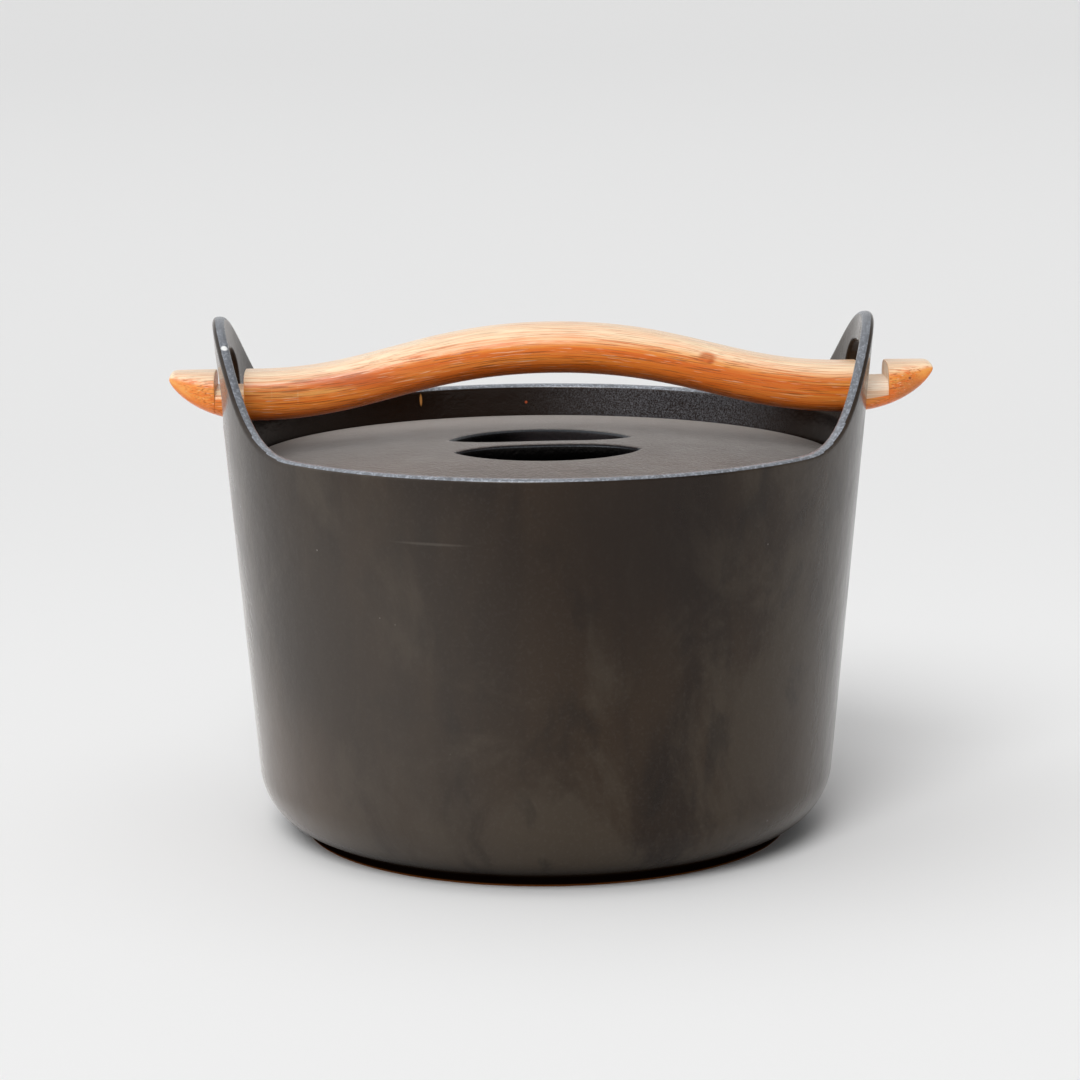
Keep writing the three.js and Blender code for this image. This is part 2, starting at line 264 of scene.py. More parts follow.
class Shell:
    """Collects grids of points in millimetres and welds them into one closed mesh."""

    def __init__(self):
        self.points = []
        self.faces = []
        self.marks = []
        self.count = 0

    def grid(self, rows, closed=False, mark=0):
        rows = np.asarray(rows, float)
        m, n = rows.shape[:2]
        base = self.count
        marks = np.broadcast_to(mark, (n,))
        self.points.append(rows.reshape(-1, 3))
        self.count += m * n
        for i in range(m - 1):
            for j in range(n if closed else n - 1):
                k = (j + 1) % n
                here, above = base + i * n, base + (i + 1) * n
                self.faces.append((here + j, here + k, above + k, above + j))
                self.marks.append(int(marks[j]))

    def place(self, angle, first, second, shift):
        """Turns all points in the plane of two axes, then shifts them."""
        points = np.concatenate(self.points)
        c, s = math.cos(angle), math.sin(angle)
        a, b = points[:, first].copy(), points[:, second].copy()
        points[:, first], points[:, second] = c * a - s * b, s * a + c * b
        self.points = [points + np.array(shift)]

    def make(self, name, materials, smooth_angle=50.0):
        mesh = bpy.data.meshes.new(name)
        points = np.concatenate(self.points) * MM
        mesh.from_pydata(points.tolist(), [], self.faces)
        for material in materials:
            mesh.materials.append(material)
        mesh.polygons.foreach_set("material_index", self.marks)
        edit = bmesh.new()
        edit.from_mesh(mesh)
        bmesh.ops.remove_doubles(edit, verts=edit.verts, dist=2e-6)
        bmesh.ops.dissolve_degenerate(edit, edges=edit.edges, dist=1e-7)
        bmesh.ops.recalc_face_normals(edit, faces=edit.faces)
        edit.to_mesh(mesh)
        edit.free()
        mesh.polygons.foreach_set("use_smooth", [True] * len(mesh.polygons))
        mesh.set_sharp_from_angle(angle=math.radians(smooth_angle))
        piece = bpy.data.objects.new(name, mesh)
        bpy.context.scene.collection.objects.link(piece)
        weighted = piece.modifiers.new("even_shading", "WEIGHTED_NORMAL")
        weighted.keep_sharp = True
        return piece


def lathe(profile, angles):
    profile = np.asarray(profile, float)
    r = profile[:, 0][:, None]
    z = np.repeat(profile[:, 1][:, None], len(angles), 1)
    return np.stack([r * np.cos(angles)[None], r * np.sin(angles)[None], z], -1)


def wall_points(theta, z, depth):
    theta, z, depth = np.broadcast_arrays(theta, z, depth)
    r = outside(z) - depth
    return np.stack([r * np.cos(theta), r * np.sin(theta), z], -1)


def rim_height(theta):
    place = (RIM_RADIUS - WALL_THICKNESS / 2) * np.abs(np.sin(theta))
    rise = bezier_height(
        np.minimum(place, EAR_REACH),
        (0.0, EAR_RISE),
        (EAR_TOP_TANGENT, EAR_RISE),
        (EAR_REACH - EAR_FOOT_TANGENT, 0.0),
        (EAR_REACH, 0.0),
    )
    return RIM_HEIGHT + rise


def rim_offset(theta, drop):
    """The rim's line moved down across itself by a drop, in angle and height."""
    middle = RIM_RADIUS - WALL_THICKNESS / 2
    step = 1e-3
    slope = (rim_height(theta + step) - rim_height(theta - step)) / (2 * step * middle)
    length = np.sqrt(1 + slope * slope)
    return theta + drop * slope / length / middle, rim_height(theta) - drop / length


def rounded_loop(width, height, corner, side_steps, across_steps):
    """Points and outward normals of a rounded rectangle, from the middle of its lower left corner."""
    w, h = width / 2 - corner, height / 2 - corner
    points, normals = [], []
    fine = 40
    for cx, cz, start in ((-w, -h, 225), (w, -h, 270), (w, h, 360), (-w, h, 450), (-w, -h, 540)):
        end = 270 if start == 225 else (585 if start == 540 else start + 90)
        for a in np.radians(np.linspace(start, end, fine)):
            points.append((cx + corner * math.cos(a), cz + corner * math.sin(a)))
            normals.append((math.cos(a), math.sin(a)))
    points, normals = np.array(points), np.array(normals)
    length = np.concatenate([[0], np.cumsum(np.hypot(*np.diff(points, axis=0).T))])
    quarter = math.pi * corner / 4
    across, up = 2 * w + 2 * quarter, 2 * h + 2 * quarter
    stops = [0.0]
    for run, steps in ((across, across_steps), (up, side_steps), (across, across_steps), (up, side_steps)):
        stops += [stops[-1] + run * (k + 1) / steps for k in range(steps)]
    stops = np.array(stops[:-1])
    at = lambda values: np.stack([np.interp(stops, length, values[:, k]) for k in (0, 1)], -1)
    n = at(normals)
    return at(points), n / np.linalg.norm(n, axis=1, keepdims=True)


def round_steps(radius, steps):
    """Offset and depth along a quarter round, from the face to the side."""
    a = np.linspace(0, math.pi / 2, steps + 1)
    return radius * (1 - np.sin(a)), radius * (1 - np.cos(a))


def pot_outside(shell):
    """The foot, the rounded lower corner and the wall up to the ears."""
    lean = math.radians(LEAN)
    corner_z = CORNER_LIFT + CORNER_RADIUS
    tangent_z = corner_z - CORNER_RADIUS * math.sin(lean)
    corner_r = outside(tangent_z) - CORNER_RADIUS * math.cos(lean)
    foot_r = outside(tangent_z) - FOOT_INSET
    foot_a = -math.degrees(math.acos((foot_r - corner_r) / CORNER_RADIUS))
    foot_top = corner_z + CORNER_RADIUS * math.sin(math.radians(foot_a))
    outer = [(r, 0.0) for r in (*FOOT_RINGS, foot_r - FOOT_BREAK)]
    outer += arc(foot_r - FOOT_EDGE, FOOT_EDGE, FOOT_EDGE, -90, 0, 4)
    outer += [(foot_r, foot_top - CREASE_DROP)]
    foot_rows = len(outer)
    outer += arc(corner_r, corner_z, CORNER_RADIUS, foot_a + CREASE_TURN, -LEAN, 20)
    outer += [(outside(z), z) for z in np.linspace(tangent_z, EAR_BASE, 15)[1:]]
    rows = lathe(outer, ALL_COLUMNS)
    shell.grid(rows[:foot_rows + 1], closed=True, mark=RECESS)
    shell.grid(rows[foot_rows:], closed=True)


def pot_inside(shell):
    """The ledge for the lid, the inner wall and the floor."""
    lean = math.radians(LEAN)
    corner = CORNER_RADIUS - WALL_THICKNESS
    corner_z = FLOOR_THICKNESS + corner
    tangent_z = corner_z - corner * math.sin(lean)
    corner_r = inside(tangent_z) - corner * math.cos(lean)
    ledge_r = inside(LEDGE_HEIGHT) - LEDGE_WIDTH
    k = LEDGE_ROUND
    inner = [(inside(z), z) for z in (EAR_BASE, LEDGE_HEIGHT + LEDGE_START)]
    inner += arc(inside(LEDGE_HEIGHT + k) - k, LEDGE_HEIGHT + k, k, 0, -90, 4)
    inner += arc(ledge_r + k, LEDGE_HEIGHT - k, k, 90, LEDGE_BACK, 5)
    inner += [(inside(z), z) for z in np.linspace(LEDGE_HEIGHT - LEDGE_SLOPE, tangent_z, 10)]
    inner += arc(corner_r, corner_z, corner, -LEAN, -90, 12)[1:]
    inner += [(r, FLOOR_THICKNESS) for r in FLOOR_RINGS]
    shell.grid(lathe(inner, ALL_COLUMNS), closed=True)


def pot_rim(shell):
    """The rim's rounded edge, drawn across the line of the rim and worn along its top, where its pale colour
    is partly a painted highlight.
    """
    between = 1 - (rim_height(ALL_COLUMNS) - RIM_HEIGHT) / EAR_RISE
    crown = RIM_CROWN + RIM_SWELL * between * (1 - np.sin(ALL_COLUMNS)) / 2
    rows = []
    for a in np.linspace(0, math.pi, RIM_ROWS):
        up = abs(math.sin(a)) ** RIM_SQUARENESS
        over = math.copysign(abs(math.cos(a)) ** RIM_SQUARENESS, math.cos(a))
        theta, z = rim_offset(ALL_COLUMNS, RIM_ROUND - (RIM_ROUND + crown) * up)
        rows.append(wall_points(theta, z, WALL_THICKNESS / 2 * (1 - over)))
    shell.grid(rows[:4], closed=True)
    for row, limit in WORN_AND_HIGHLIT_ROWS:
        shell.grid(rows[row:row + 2], closed=True, mark=between > limit)
    shell.grid(rows[6:-2], closed=True, mark=EDGE)
    shell.grid(rows[-3:], closed=True)


def pot_walls(shell):
    """The wall between the ears, outside and inside."""
    share = np.linspace(0, 1, SIDE_STEPS + 1)[:, None]
    for depth in (0.0, WALL_THICKNESS):
        for angles in (BACK_COLUMNS, FRONT_COLUMNS):
            theta, z = rim_offset(angles, RIM_ROUND)
            t = angles + (theta - angles) * share
            shell.grid(wall_points(t, EAR_BASE + (z - EAR_BASE) * share, depth))


def pot_ears(shell):
    """Each ear's two faces, in rings about its eye, and the rounded edge of the eye."""
    outline, normal = rounded_loop(EYE_WIDTH, EYE_HEIGHT, EYE_CORNER, SIDE_STEPS, EAR_STEPS)
    top_t, top_z = rim_offset(EAR_COLUMNS, RIM_ROUND)
    up = np.linspace(0, 1, SIDE_STEPS + 1)
    right_t, left_t = (EAR_COLUMNS[k] + (top_t[k] - EAR_COLUMNS[k]) * up for k in (-1, 0))
    right_z, left_z = (EAR_BASE + (top_z[k] - EAR_BASE) * up for k in (-1, 0))
    base_z = np.full(EAR_STEPS, EAR_BASE)
    edge_t = np.concatenate([EAR_COLUMNS[:-1], right_t[:-1], top_t[::-1][:-1], left_t[::-1][:-1]])
    edge_z = np.concatenate([base_z, right_z[:-1], top_z[::-1][:-1], left_z[::-1][:-1]])
    ring = np.linspace(0, 1, 10)[:, None] ** EAR_RING_SPREAD
    loops = list(zip(*round_steps(EYE_ROUND, 4)))
    loops += [(offset, WALL_THICKNESS - depth) for offset, depth in reversed(loops)]
    for sign, step in ((1.0, EYE_STEP), (-1.0, 0.0)):
        middle = EYE_SILL + EYE_HEIGHT / 2 + step
        mirror = np.array([sign, 1.0, 1.0])

        def on_wall(offset, depth):
            y = outline[:, 0] + offset * normal[:, 0]
            z = middle + outline[:, 1] + offset * normal[:, 1]
            return np.arcsin(y / (outside(z) - depth)), z

        for depth in (0.0, WALL_THICKNESS):
            theta, z = on_wall(EYE_ROUND, depth)
            t = theta + (edge_t - theta) * ring
            h = z + (edge_z - z) * ring
            shell.grid(wall_points(t, h, depth) * mirror, closed=True)
        rows = []
        for offset, depth in loops:
            theta, z = on_wall(offset, depth)
            rows.append(wall_points(theta, z, depth) * mirror)
        shell.grid(rows, closed=True)


def make_pot(skin, edge, foot):
    shell = Shell()
    for part in (pot_outside, pot_inside, pot_rim, pot_walls, pot_ears):
        part(shell)
    return shell.make("pot_casting", [skin, edge, foot])


LID_RADIUS = inside(LEDGE_HEIGHT) - LID_CLEARANCE
LID_TOP = LID_EDGE + LID_RISE
BAR_UNDERSIDE = LID_TOP - BAR_DEPTH
WELL_FLOOR = LID_TOP - WELL_DEPTH


def dome(radius):
    return LID_TOP - LID_RISE * (radius / LID_RADIUS) ** 2


def bar_half(x):
    """Half the width of the bar, which flares towards its ends."""
    return BAR_WAIST / 2 + BAR_FLARE * (x / WELL_RADIUS) ** 4


def moon_outline():
    """One opening of the well, seen from above: round the well from tip to tip, then back along the bar."""
    x = np.linspace(0, WELL_RADIUS, 4001)
    tip = x[np.argmin(np.abs(np.hypot(x, bar_half(x)) - WELL_RADIUS))]
    start = math.atan2(bar_half(tip), tip)
    a = np.linspace(start, math.pi - start, ARC_STEPS + 1)
    round_part = np.stack([WELL_RADIUS * np.cos(a), WELL_RADIUS * np.sin(a)], -1)
    even = np.linspace(-1, 1, BAR_STEPS + 1)
    along = tip * (BAR_BUNCHING * np.sin(even * math.pi / 2) + (1 - BAR_BUNCHING) * even)
    bar_part = np.stack([along, bar_half(along)], -1)
    bar_part[0] = round_part[-1]
    bar_part[-1] = round_part[0]
    return round_part, bar_part, start


def loop_normals(loop):
    """Normals that point out of a loop that runs anticlockwise."""
    ahead = np.roll(loop, -1, 0) - loop
    behind = loop - np.roll(loop, 1, 0)
    ahead /= np.linalg.norm(ahead, axis=1, keepdims=True)
    behind /= np.linalg.norm(behind, axis=1, keepdims=True)
    along = ahead + behind
    along /= np.linalg.norm(along, axis=1, keepdims=True)
    return np.stack([along[:, 1], -along[:, 0]], -1)


def raised(xy, z):
    return np.concatenate([xy, np.broadcast_to(z, xy.shape[:1])[:, None]], 1)


def well_opening(shell, round_part, bar_part, half):
    """One opening of the well: the top about it, its lip and its sides. Gives the bar's lower edge."""
    loop = np.concatenate([round_part[:-1], bar_part[:-1]])
    normal = loop_normals(loop)
    a = np.linspace(0, math.pi, ARC_STEPS + 1)
    outer_round = PATCH_RADIUS * np.stack([np.cos(a), np.sin(a)], -1)
    bar_share = bar_part[:, 0] / bar_part[-1, 0]
    middle_line = np.stack([bar_share * PATCH_RADIUS, np.zeros(BAR_STEPS + 1)], -1)
    outer = np.concatenate([outer_round[:-1], middle_line[:-1]])

    # The top of the lid about the opening
    lip = loop + LIP_ROUND * normal
    rows = []
    for share in np.linspace(0, 1, 9) ** PATCH_SPREAD:
        xy = lip + (outer - lip) * share
        rows.append(raised(xy, dome(np.hypot(*xy.T))) * half)
    shell.grid(rows, closed=True)

    # Its rounded lip, worn along the middle
    rows = []
    for offset, depth in zip(*round_steps(LIP_ROUND, 6)):
        xy = loop + offset * normal
        rows.append(raised(xy, dome(np.hypot(*xy.T)) - depth) * half)
    shell.grid(rows[:3], closed=True)
    shell.grid(rows[2:5], closed=True, mark=EDGE)
    shell.grid(rows[4:], closed=True, mark=RECESS)

    # The side of the well, down to the level of the bar's underside
    low = dome(WELL_RADIUS) - LIP_ROUND
    shell.grid([raised(round_part, z) * half for z in np.linspace(low, BAR_UNDERSIDE, 4)], mark=RECESS)

    # The side of the bar
    top = dome(np.hypot(*bar_part.T)) - LIP_ROUND
    ease = np.clip((bar_part[-1, 0] - np.abs(bar_part[:, 0])) / BAR_EASE, 0, 1)
    radius = BAR_ROUND * ease * ease * (3 - 2 * ease)
    inward = np.concatenate([normal[ARC_STEPS:], normal[:1]])
    rows = []
    for share in np.linspace(0, 1, 4):
        rows.append(raised(bar_part, top + (BAR_UNDERSIDE + radius - top) * share))
    for angle in np.radians((22.5, 45.0, 67.5, 90.0)):
        xy = bar_part + (radius * (1 - math.cos(angle)))[:, None] * inward
        rows.append(raised(xy, BAR_UNDERSIDE + radius * (1 - math.sin(angle))))
    shell.grid([row * half for row in rows], mark=RECESS)
    return rows[-1]


def bar_underside(shell, far_edge, start):
    """The underside of the bar, whose ends lie on the side of the well."""
    near_edge = far_edge[::-1] * HALVES[1]
    share = np.linspace(0, 1, END_STEPS + 1)[:, None, None]
    under = far_edge[None] + (near_edge - far_edge)[None] * share
    sweep = np.linspace(-start, start, END_STEPS + 1)
    for column, angles in ((0, math.pi + sweep), (BAR_STEPS, -sweep)):
        under[:, column, 0] = WELL_RADIUS * np.cos(angles)
        under[:, column, 1] = WELL_RADIUS * np.sin(angles)
    shell.grid(under, mark=RECESS)


def lower_well(shell, start):
    """The well below the bar."""
    upper = np.linspace(start, math.pi - start, ARC_STEPS + 1)[:-1]
    end = np.linspace(-start, start, END_STEPS + 1)[:-1]
    around = np.concatenate([upper, math.pi + end, math.pi + upper, 2 * math.pi + end])
    middle = (BAR_UNDERSIDE + WELL_FLOOR + WELL_CORNER) / 2
    well = [(WELL_RADIUS, BAR_UNDERSIDE), (WELL_RADIUS, middle)]
    well += arc(WELL_RADIUS - WELL_CORNER, WELL_FLOOR + WELL_CORNER, WELL_CORNER, 0, -90, 9)
    well += [(r, WELL_FLOOR) for r in (14.0, 7.0, 0.0)]
    shell.grid(lathe(well, around), closed=True, mark=RECESS)


def lid_body(shell):
    """The rest of the lid: its dome, edge, underside and the bowl of the well."""
    bowl_r, bowl_corner = WELL_RADIUS + WELL_WALL, WELL_CORNER + WELL_WALL
    bowl_floor = WELL_FLOOR - WELL_WALL
    seat = LID_RADIUS - LEDGE_WIDTH - WALL_THICKNESS
    edge_r = LID_RADIUS - LID_ROUND
    k = LID_FOOT_EDGE
    body = [(r, dome(r)) for r in np.linspace(PATCH_RADIUS, edge_r - 1.0, 14)]
    body += arc(edge_r, dome(edge_r) - LID_ROUND, LID_ROUND, 90, 0, 5)
    body += arc(LID_RADIUS - k, k, k, 0, -90, 3)
    body += [(seat + WALL_THICKNESS, 0.0)]
    body += [(r, dome(r) - LID_THICKNESS) for r in np.linspace(seat, bowl_r + 2.0, 8)]
    body += arc(bowl_r - bowl_corner, bowl_floor + bowl_corner, bowl_corner, 0, -90, 9)
    body += [(r, bowl_floor) for r in (12.0, 0.0)]
    circle = np.linspace(0, 2 * math.pi, 2 * ARC_STEPS + 1)[:-1]
    shell.grid(lathe(body, circle), closed=True)


def make_lid(skin, edge, hollow):
    shell = Shell()
    round_part, bar_part, start = moon_outline()
    bar_edges = [well_opening(shell, round_part, bar_part, half) for half in HALVES]
    bar_underside(shell, bar_edges[0], start)
    lower_well(shell, start)
    lid_body(shell)
    shell.place(BAR_TURN, 0, 1, (0.0, 0.0, LID_BASE))
    return shell.make("lid_casting", [skin, edge, hollow])


ENGAGEMENT = HANDLE_END_THICKNESS - NECK_HEIGHT
NOTCH_INNER = inside(EYE_SILL) - NOTCH_INNER_CLEARANCE
NOTCH_OUTER = outside(EYE_SILL + EYE_HEIGHT + ENGAGEMENT) + NOTCH_OUTER_CLEARANCE
HANDLE_HALF = NOTCH_OUTER + HOOK_LENGTH
SEAT_RADIUS = (inside(EYE_SILL) + outside(EYE_SILL)) / 2
HANDLE_TILT = math.asin(EYE_STEP / (2 * SEAT_RADIUS))


def handle_section(distance):
    bowed = float(bezier_height(
        min(distance, BOW_SPAN), (0.0, 1.0), (BOW_CROWN, 1.0), (BOW_SPAN - BOW_FOOT, 0.0), (BOW_SPAN, 0.0)
    ))
    thickness = HANDLE_END_THICKNESS + (HANDLE_THICKNESS - HANDLE_END_THICKNESS) * bowed
    middle = HANDLE_END_THICKNESS / 2 + BOW_RISE * bowed
    sweep = max(0.0, (distance - (HANDLE_HALF - HOOK_SWEEP)) / HOOK_SWEEP)
    tip = max(0.0, (distance - (HANDLE_HALF - TIP_ROUND)) / TIP_ROUND)
    lift = 1 - max(0.0, 1 - sweep * sweep) ** HOOK_CURVE
    fall = 1 - math.sqrt(max(0.0, 1 - tip * tip))
    width = HANDLE_END_WIDTH + (HANDLE_WIDTH - HANDLE_END_WIDTH) * bowed
    low = middle - thickness / 2 + (thickness - TIP_THICKNESS) * lift
    high = middle + thickness / 2 - (TIP_THICKNESS / 2) * fall
    roundness = END_ROUNDNESS + (GRIP_ROUNDNESS - END_ROUNDNESS) * bowed
    return low, high, (width / 2) * (1 - TIP_NARROWING * sweep ** 3), roundness


def reach_within(shape):
    """How far a shape reaches from the centre of a section, along each angle, found by halving."""
    near, far = np.zeros(HANDLE_SIDES), np.full(HANDLE_SIDES, SEARCH_REACH)
    for _ in range(SEARCH_STEPS):
        r = (near + far) / 2
        within = shape(np.abs(r * np.cos(AROUND)), r * np.sin(AROUND))
        near, far = np.where(within, r, near), np.where(within, far, r)
    return near


def handle_ring(x, inset=0.0, neck=False):
    """The outline of the handle at a place along it, drawn in by an inset or cut down to the neck."""
    low, high, side, roundness = handle_section(abs(x))
    centre = low + CENTRE_SHARE * (high - low)

    def squared_oval(y, z):
        up = np.abs(centre + z - (low + high) / 2) / ((high - low) / 2)
        return (y / side) ** roundness + up ** roundness < 1

    def neck_shape(y, z):
        shoulder = NECK_HEIGHT - NECK_ROUND
        past_side = np.maximum(y - (NECK_WIDTH / 2 - NECK_ROUND), 0)
        past_shoulder = np.maximum(centre + z - shoulder, 0)
        rounded = np.hypot(past_side, past_shoulder) < NECK_ROUND
        return np.where(centre + z > shoulder, rounded, y < NECK_WIDTH / 2)

    reach = reach_within(squared_oval)
    if neck:
        reach = np.minimum(reach, reach_within(neck_shape))
    reach = np.maximum(reach - inset, 0.0)
    return np.stack([np.full(HANDLE_SIDES, x), reach * np.cos(AROUND), centre + reach * np.sin(AROUND)], -1)


def handle_end(shell, sign, rounding):
    """The flat end of the grip, the neck and the hook. On the right all the cut faces are bare wood."""
    neck = np.array([handle_ring(sign * x, 0.0, True) for x in np.linspace(NOTCH_INNER, NOTCH_OUTER, 12)])
    blend = np.linspace(0, 1, 5)[:, None, None]
    grip_end = handle_ring(sign * NOTCH_INNER, NOTCH_ROUND)
    shell.grid(grip_end + (neck[0] - grip_end) * blend, closed=True, mark=RAW)
    cut = np.abs(handle_ring(sign * NOTCH_INNER) - neck[0]).sum(-1) > CUT_DEPTH
    bare = cut & np.roll(cut, -1) & (neck[0][:, 2] > RAW_ABOVE) & (sign > 0)
    shell.grid(neck, closed=True, mark=bare)
    hook_end = handle_ring(sign * NOTCH_OUTER, NOTCH_ROUND)
    shell.grid(neck[-1] + (hook_end - neck[-1]) * blend, closed=True, mark=RAW if sign > 0 else SKIN)
    start = NOTCH_OUTER + NOTCH_ROUND
    hook = [handle_ring(sign * (start - ahead), inset) for ahead, inset in rounding[::-1]]
    start += HOOK_MARGIN
    for share in np.sin(np.linspace(0, math.pi / 2, 30)):
        hook.append(handle_ring(sign * (start + (HANDLE_HALF - start) * share)))
    end = hook[-1]
    middle = end.mean(0)
    hook += [middle + (end - middle) * share for share in TIP_RINGS]
    shell.grid(hook, closed=True)


def make_handle(oiled, raw):
    shell = Shell()
    quarter = np.radians(np.linspace(0, 90, 5))
    rounding = [(NOTCH_ROUND * math.sin(a), NOTCH_ROUND * (1 - math.cos(a))) for a in quarter]
    grip = NOTCH_INNER - NOTCH_ROUND
    plain = grip - GRIP_MARGIN
    body = [handle_ring(-grip - ahead, inset) for ahead, inset in rounding[::-1]]
    body += [handle_ring(x) for x in np.linspace(-plain, plain, GRIP_STATIONS)]
    body += [handle_ring(grip + ahead, inset) for ahead, inset in rounding]
    shell.grid(body, closed=True)
    for sign in (-1.0, 1.0):
        handle_end(shell, sign, rounding)
    shell.place(HANDLE_TILT, 0, 2, (HANDLE_SHIFT, 0.0, EYE_SILL + EYE_STEP / 2 + SEAT_GAP))
    return shell.make("handle_stick", [oiled, raw])


# Materials


class Nodes:
    """Short ways to add shader nodes to one material."""

    def __init__(self, name):
        self.material = bpy.data.materials.new(name)
        self.material.use_nodes = True
        self.tree = self.material.node_tree
        self.tree.nodes.clear()
        self.out = self.tree.nodes.new("ShaderNodeOutputMaterial")
        self.shader = self.tree.nodes.new("ShaderNodeBsdfPrincipled")
        self.tree.links.new(self.shader.outputs["BSDF"], self.out.inputs["Surface"])
        self.place = self.tree.nodes.new("ShaderNodeTexCoord").outputs["Object"]

    def put(self, socket, value):
        if isinstance(value, bpy.types.NodeSocket):
            self.tree.links.new(value, socket)
        else:
            socket.default_value = value

    def mapped(self, scale, shift=(0.0, 0.0, 0.0), source=None):
        node = self.tree.nodes.new("ShaderNodeMapping")
        node.inputs["Scale"].default_value = scale
        node.inputs["Location"].default_value = shift
        self.put(node.inputs["Vector"], source or self.place)
        return node.outputs["Vector"]

    def noise(self, vector, scale, detail=2.0, rough=0.5, warp=0.0):
        node = self.tree.nodes.new("ShaderNodeTexNoise")
        self.put(node.inputs["Vector"], vector)
        node.inputs["Scale"].default_value = scale
        node.inputs["Detail"].default_value = detail
        node.inputs["Roughness"].default_value = rough
        node.inputs["Distortion"].default_value = warp
        return node.outputs["Fac"]

    def cells(self, vector, scale):
        node = self.tree.nodes.new("ShaderNodeTexVoronoi")
        self.put(node.inputs["Vector"], vector)
        node.inputs["Scale"].default_value = scale
        return node.outputs["Distance"]

    def span(self, value, low, high, to_low=0.0, to_high=1.0, smooth=True):
        node = self.tree.nodes.new("ShaderNodeMapRange")
        node.interpolation_type = "SMOOTHSTEP" if smooth else "LINEAR"
        self.put(node.inputs["Value"], value)
        limits = {"From Min": low, "From Max": high, "To Min": to_low, "To Max": to_high}
        for name, number in limits.items():
            node.inputs[name].default_value = number
        return node.outputs["Result"]

    def sum(self, operation, a, b):
        node = self.tree.nodes.new("ShaderNodeMath")
        node.operation = operation
        self.put(node.inputs[0], a)
        self.put(node.inputs[1], b)
        return node.outputs["Value"]

    def mix(self, share, a, b):
        node = self.tree.nodes.new("ShaderNodeMix")
        node.data_type = "RGBA"
        self.put(node.inputs[0], share)
        for socket, value in ((node.inputs[6], a), (node.inputs[7], b)):
            if not isinstance(value, bpy.types.NodeSocket):
                value = (*value, 1.0)
            self.put(socket, value)
        return node.outputs[2]

    def join(self, x, y, z):
        node = self.tree.nodes.new("ShaderNodeCombineXYZ")
        for socket, value in zip(node.inputs, (x, y, z)):
            self.put(socket, value)
        return node.outputs["Vector"]

    def near(self, point, reach, stretch, core=0.5):
        """One within the core of a spot in millimetres, falling to nothing at its reach."""
        node = self.tree.nodes.new("ShaderNodeVectorMath")
        node.operation = "DISTANCE"
        self.put(node.inputs[0], self.mapped(stretch))
        node.inputs[1].default_value = [k * s * MM for k, s in zip(point, stretch)]
        return self.span(node.outputs["Value"], reach * MM, core * reach * MM)

    def spotted(self, colour, spots):
        for point, reach, core, stretch, tone, share in spots:
            here = self.near(point, reach, stretch, core)
            colour = self.mix(self.sum("MULTIPLY", here, share), colour, tone)
        return colour

    def split(self, vector):
        node = self.tree.nodes.new("ShaderNodeSeparateXYZ")
        self.put(node.inputs[0], vector)
        return node.outputs

    def bump(self, height, strength, distance, below=None):
        node = self.tree.nodes.new("ShaderNodeBump")
        node.inputs["Strength"].default_value = strength
        node.inputs["Distance"].default_value = distance
        self.put(node.inputs["Height"], height)
        if below is not None:
            self.put(node.inputs["Normal"], below)
        return node.outputs["Normal"]


def inner_wall(n, radius, z):
    """One on the upper inner side of the pot's wall, below the rim, where shade and glints are painted."""
    low, high = outside(0.0) * MM, outside(RIM_HEIGHT) * MM
    depth = n.sum("SUBTRACT", radius, n.span(z, 0.0, RIM_HEIGHT * MM, low, high, smooth=False))
    within = n.sum("MULTIPLY", n.span(depth, *INNER_DEPTH), n.span(z, *INNER_TOP))
    return n.sum("MULTIPLY", within, n.span(z, *INNER_FOOT))


